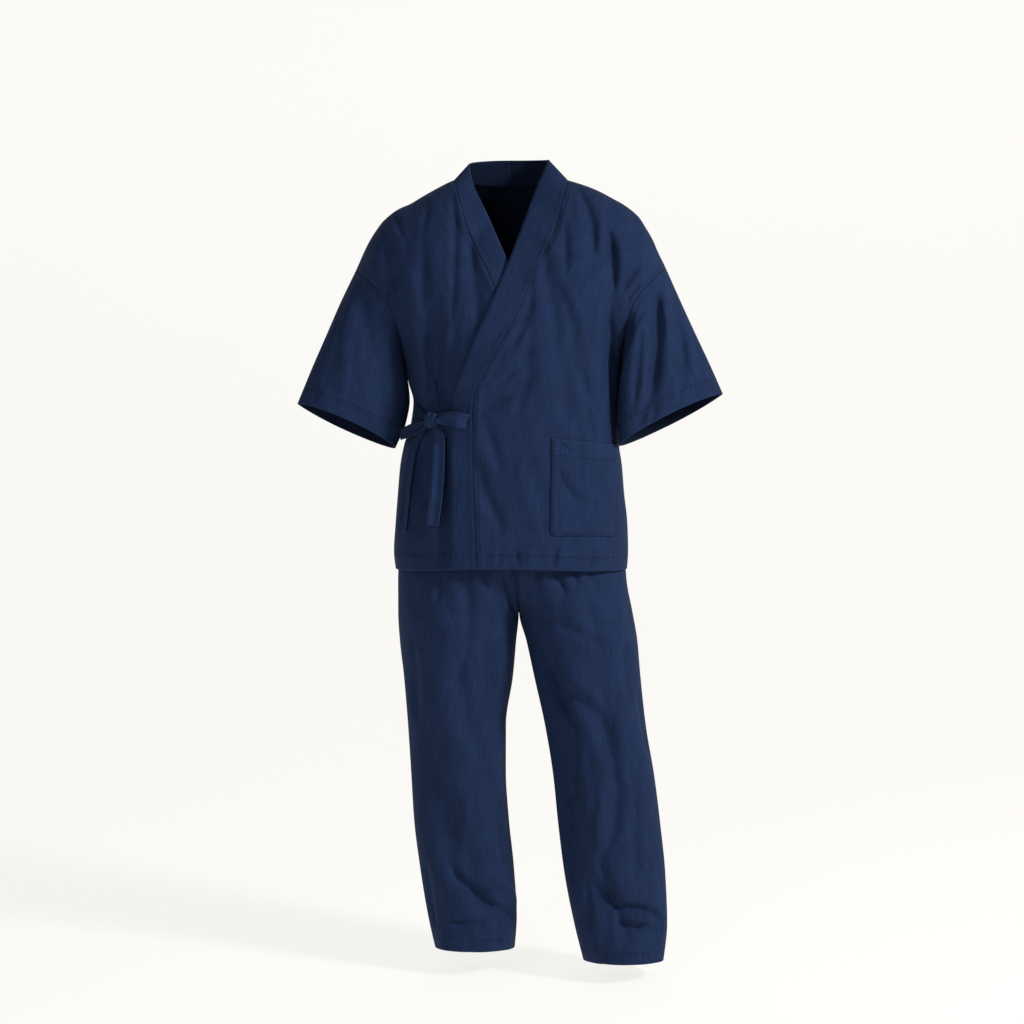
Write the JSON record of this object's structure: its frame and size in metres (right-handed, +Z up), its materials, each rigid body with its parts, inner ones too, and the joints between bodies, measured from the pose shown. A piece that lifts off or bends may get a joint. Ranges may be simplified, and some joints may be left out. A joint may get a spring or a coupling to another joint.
{
  "type": "kimono pyjama set",
  "caption": "Loungewear in its worn form: a crossed kimono jacket with wide elbow-length sleeves, a band collar, a patch pocket and a tie at the side waist, over straight loose trousers.",
  "frame": {"origin": "middle of the neck opening at the height of the shoulder line, where the wearer's shoulders and neck hold the jacket", "axes": "+Z up, -Y towards the wearer's front, +X towards the wearer's left side"},
  "size_m": [0.791, 0.3068, 1.5056],
  "materials": {
    "band_left": "matt navy cotton, washed",
    "band_right": "matt navy cotton, washed",
    "jacket_back": "matt navy cotton, washed",
    "jacket_front_left": "matt navy cotton, washed",
    "jacket_front_right": "matt navy cotton, washed",
    "pocket": "matt navy cotton, washed",
    "sleeve_left": "matt navy cotton, washed",
    "sleeve_right": "matt navy cotton, washed",
    "tie_knot": "matt navy cotton, washed",
    "tie_loop_left": "matt navy cotton, washed",
    "tie_loop_right": "matt navy cotton, washed",
    "tie_strap_front": "matt navy cotton, washed",
    "tie_strap_side": "matt navy cotton, washed",
    "tie_tail_front": "matt navy cotton, washed",
    "tie_tail_side": "matt navy cotton, washed",
    "trouser_back_left": "matt navy cotton, washed",
    "trouser_back_right": "matt navy cotton, washed",
    "trouser_front_left": "matt navy cotton, washed",
    "trouser_front_right": "matt navy cotton, washed",
    "waistband": "matt navy cotton, washed"
  },
  "bodies": {
    "root": {"band_left": "band_left", "band_right": "band_right", "jacket_back": "jacket_back", "jacket_front_left": "jacket_front_left", "jacket_front_right": "jacket_front_right", "pocket": "pocket", "sleeve_left": "sleeve_left", "sleeve_right": "sleeve_right", "tie_knot": "tie_knot", "tie_loop_left": "tie_loop_left", "tie_loop_right": "tie_loop_right", "tie_strap_front": "tie_strap_front", "tie_strap_side": "tie_strap_side", "tie_tail_front": "tie_tail_front", "tie_tail_side": "tie_tail_side", "trouser_back_left": "trouser_back_left", "trouser_back_right": "trouser_back_right", "trouser_front_left": "trouser_front_left", "trouser_front_right": "trouser_front_right", "waistband": "waistband"}
  },
  "joints": []
}
